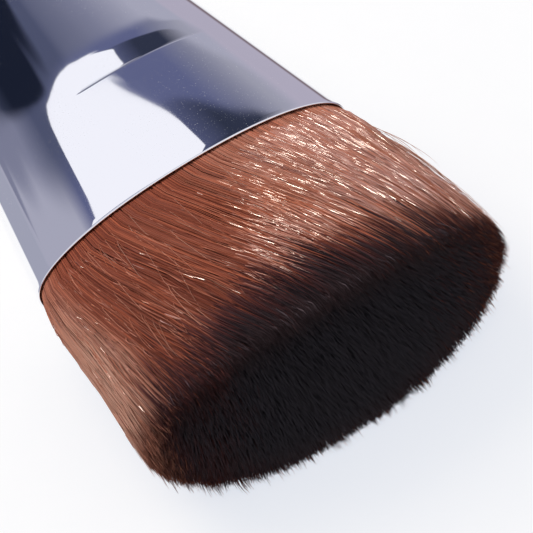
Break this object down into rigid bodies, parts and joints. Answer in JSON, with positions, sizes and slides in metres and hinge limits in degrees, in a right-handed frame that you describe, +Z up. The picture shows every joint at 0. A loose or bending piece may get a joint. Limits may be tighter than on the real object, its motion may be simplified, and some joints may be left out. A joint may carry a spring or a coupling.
{
  "type": "foundation brush",
  "caption": "Hand cosmetic brush: a dense flared oval bristle head with a flat cut face, a bright metal ferrule that narrows to a round neck, and a turned tapering handle.",
  "frame": {"origin": "below the middle of the brush's box, on the surface that it lies on", "axes": "+X along the brush towards the bristle tips, +Y across the broad side, +Z up through the thickness"},
  "size_m": [0.1782, 0.0404, 0.0195],
  "materials": {
    "bristles": "satin synthetic hair, chestnut brown with near-black dyed tips",
    "ferrule": "mirror-bright plate",
    "binding": "wound thread, matte",
    "epoxy": "cured resin, glossy",
    "adhesive": "cured adhesive, dull",
    "handle": "gloss black lacquer over hardwood"
  },
  "bodies": {
    "root": {"bristles": "bristles", "ferrule": "ferrule", "root_binding": "binding", "epoxy_plug": "epoxy", "neck_adhesive": "adhesive", "handle": "handle"}
  },
  "joints": []
}
